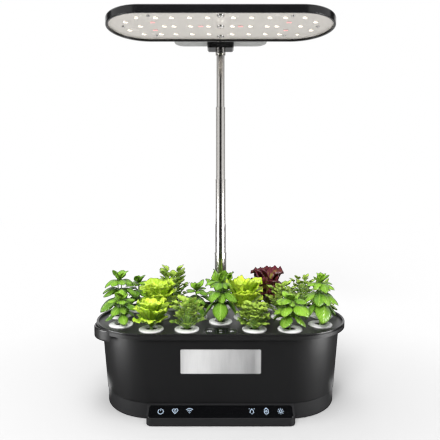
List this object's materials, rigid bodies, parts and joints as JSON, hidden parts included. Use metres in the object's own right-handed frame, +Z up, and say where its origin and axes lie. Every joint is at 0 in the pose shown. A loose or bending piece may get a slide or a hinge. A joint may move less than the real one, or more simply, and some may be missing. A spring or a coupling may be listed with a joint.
{
  "type": "countertop hydroponic garden",
  "caption": "Indoor hydroponic planter: black stadium-shaped water tank on a base with a touch console, planted seed-pod deck, and a grow lamp on a telescopic mast.",
  "frame": {"origin": "middle of the footprint's bounding box, on the surface that the rubber feet stand on", "axes": "+Z up, +X to the right seen from the console side, +Y from the console towards the mast"},
  "size_m": [0.43, 0.2392, 0.6516],
  "materials": {
    "base_plastic": "fine satin moulding",
    "foot_rubber": "matt",
    "screw_steel": "bright",
    "console_glass": "high gloss",
    "circuit_board": "solder mask",
    "inlet_plastic": "matt",
    "tank_plastic": "matt moulding",
    "plate_aluminium": "brushed",
    "pump_plastic": "matt",
    "impeller_plastic": "satin",
    "deck_plastic": "satin",
    "button_plastic": "gloss",
    "pod_plastic": "satin",
    "mast_steel": "polished lengthwise",
    "knuckle_plastic": "satin",
    "arm_paint": "satin grey",
    "lamp_plastic": "satin",
    "led_board": "white solder mask",
    "leaf_bright": "waxy leaf",
    "leaf_lime": "waxy leaf",
    "leaf_herb": "waxy leaf",
    "leaf_deep": "waxy leaf",
    "leaf_red": "waxy leaf"
  },
  "bodies": {
    "base": {"base_shell": "base_plastic", "base_plate": "base_plastic", "rubber_feet": "foot_rubber", "case_screws": "screw_steel", "console_glass": "console_glass", "control_board": "circuit_board", "power_inlet": "inlet_plastic", "mast_tube_1": "mast_steel"},
    "tank_assembly": {"tank": "tank_plastic", "nameplate": "plate_aluminium", "pump_body": "pump_plastic"},
    "impeller": {"pump_impeller": "impeller_plastic"},
    "lid": {"deck_lid": "deck_plastic"},
    "left_key": {"button_left": "button_plastic"},
    "middle_key": {"button_middle": "button_plastic"},
    "right_key": {"button_right": "button_plastic"},
    "mast_stage_2": {"mast_tube_2": "mast_steel"},
    "mast_stage_3": {"mast_tube_3": "mast_steel"},
    "lamp_head": {"mast_tube_4": "mast_steel", "mast_knuckle": "knuckle_plastic", "lamp_arm": "arm_paint", "lamp_housing": "lamp_plastic", "led_board": "led_board", "lamp_fasteners": "screw_steel"},
    "basket_01": {"pod_01": "pod_plastic", "plant_01": "leaf_bright"},
    "basket_02": {"pod_02": "pod_plastic", "plant_02": "leaf_lime"},
    "basket_03": {"pod_03": "pod_plastic", "plant_03": "leaf_herb"},
    "basket_04": {"pod_04": "pod_plastic", "plant_04": "leaf_deep"},
    "basket_05": {"pod_05": "pod_plastic", "plant_05": "leaf_bright"},
    "basket_06": {"pod_06": "pod_plastic", "plant_06": "leaf_bright"},
    "basket_07": {"pod_07": "pod_plastic", "plant_07": "leaf_deep"},
    "basket_08": {"pod_08": "pod_plastic", "plant_08": "leaf_lime"},
    "basket_09": {"pod_09": "pod_plastic", "plant_09": "leaf_deep"},
    "basket_10": {"pod_10": "pod_plastic", "plant_10": "leaf_deep"},
    "basket_11": {"pod_11": "pod_plastic", "plant_11": "leaf_lime"},
    "basket_12": {"pod_12": "pod_plastic", "plant_12": "leaf_herb"},
    "basket_13": {"pod_13": "pod_plastic", "plant_13": "leaf_herb"},
    "basket_14": {"pod_14": "pod_plastic", "plant_14": "leaf_deep"},
    "basket_15": {"pod_15": "pod_plastic", "plant_15": "leaf_herb"},
    "basket_16": {"pod_16": "pod_plastic", "plant_16": "leaf_bright"},
    "basket_17": {"pod_17": "pod_plastic", "plant_17": "leaf_red"},
    "basket_18": {"pod_18": "pod_plastic", "plant_18": "leaf_herb"}
  },
  "joints": [
    {"name": "tank_lift", "type": "slide", "parent": "base", "child": "tank_assembly", "axis": [0, 0, 1], "range_m": [0, 0.08]},
    {"name": "lid_lift", "type": "slide", "parent": "tank_assembly", "child": "lid", "axis": [0, 0, 1], "range_m": [0, 0.07]},
    {"name": "impeller_spin", "type": "hinge", "parent": "tank_assembly", "child": "impeller", "pos_m": [0.15, -0.02295, 0.0485], "axis": [0, -1, 0], "continuous": true},
    {"name": "left_key_press", "type": "slide", "parent": "lid", "child": "left_key", "axis": [0, 0, 1], "range_m": [-0.0008, 0], "stiffness_N_per_m": 150, "springref_m": 0.0002},
    {"name": "middle_key_press", "type": "slide", "parent": "lid", "child": "middle_key", "axis": [0, 0, 1], "range_m": [-0.0008, 0], "stiffness_N_per_m": 150, "springref_m": 0.0002},
    {"name": "right_key_press", "type": "slide", "parent": "lid", "child": "right_key", "axis": [0, 0, 1], "range_m": [-0.0008, 0], "stiffness_N_per_m": 150, "springref_m": 0.0002},
    {"name": "mast_slide_2", "type": "slide", "parent": "base", "child": "mast_stage_2", "axis": [0, 0, 1], "range_m": [-0.14, 0]},
    {"name": "mast_slide_3", "type": "slide", "parent": "mast_stage_2", "child": "mast_stage_3", "axis": [0, 0, 1], "range_m": [-0.135, 0]},
    {"name": "mast_slide_4", "type": "slide", "parent": "mast_stage_3", "child": "lamp_head", "axis": [0, 0, 1], "range_m": [-0.095, 0.035]},
    {"name": "basket_lift_01", "type": "slide", "parent": "lid", "child": "basket_01", "axis": [0, 0, 1], "range_m": [0, 0.06]},
    {"name": "basket_lift_02", "type": "slide", "parent": "lid", "child": "basket_02", "axis": [0, 0, 1], "range_m": [0, 0.06]},
    {"name": "basket_lift_03", "type": "slide", "parent": "lid", "child": "basket_03", "axis": [0, 0, 1], "range_m": [0, 0.06]},
    {"name": "basket_lift_04", "type": "slide", "parent": "lid", "child": "basket_04", "axis": [0, 0, 1], "range_m": [0, 0.06]},
    {"name": "basket_lift_05", "type": "slide", "parent": "lid", "child": "basket_05", "axis": [0, 0, 1], "range_m": [0, 0.06]},
    {"name": "basket_lift_06", "type": "slide", "parent": "lid", "child": "basket_06", "axis": [0, 0, 1], "range_m": [0, 0.06]},
    {"name": "basket_lift_07", "type": "slide", "parent": "lid", "child": "basket_07", "axis": [0, 0, 1], "range_m": [0, 0.06]},
    {"name": "basket_lift_08", "type": "slide", "parent": "lid", "child": "basket_08", "axis": [0, 0, 1], "range_m": [0, 0.06]},
    {"name": "basket_lift_09", "type": "slide", "parent": "lid", "child": "basket_09", "axis": [0, 0, 1], "range_m": [0, 0.06]},
    {"name": "basket_lift_10", "type": "slide", "parent": "lid", "child": "basket_10", "axis": [0, 0, 1], "range_m": [0, 0.06]},
    {"name": "basket_lift_11", "type": "slide", "parent": "lid", "child": "basket_11", "axis": [0, 0, 1], "range_m": [0, 0.06]},
    {"name": "basket_lift_12", "type": "slide", "parent": "lid", "child": "basket_12", "axis": [0, 0, 1], "range_m": [0, 0.06]},
    {"name": "basket_lift_13", "type": "slide", "parent": "lid", "child": "basket_13", "axis": [0, 0, 1], "range_m": [0, 0.06]},
    {"name": "basket_lift_14", "type": "slide", "parent": "lid", "child": "basket_14", "axis": [0, 0, 1], "range_m": [0, 0.06]},
    {"name": "basket_lift_15", "type": "slide", "parent": "lid", "child": "basket_15", "axis": [0, 0, 1], "range_m": [0, 0.06]},
    {"name": "basket_lift_16", "type": "slide", "parent": "lid", "child": "basket_16", "axis": [0, 0, 1], "range_m": [0, 0.06]},
    {"name": "basket_lift_17", "type": "slide", "parent": "lid", "child": "basket_17", "axis": [0, 0, 1], "range_m": [0, 0.06]},
    {"name": "basket_lift_18", "type": "slide", "parent": "lid", "child": "basket_18", "axis": [0, 0, 1], "range_m": [0, 0.06]}
  ]
}
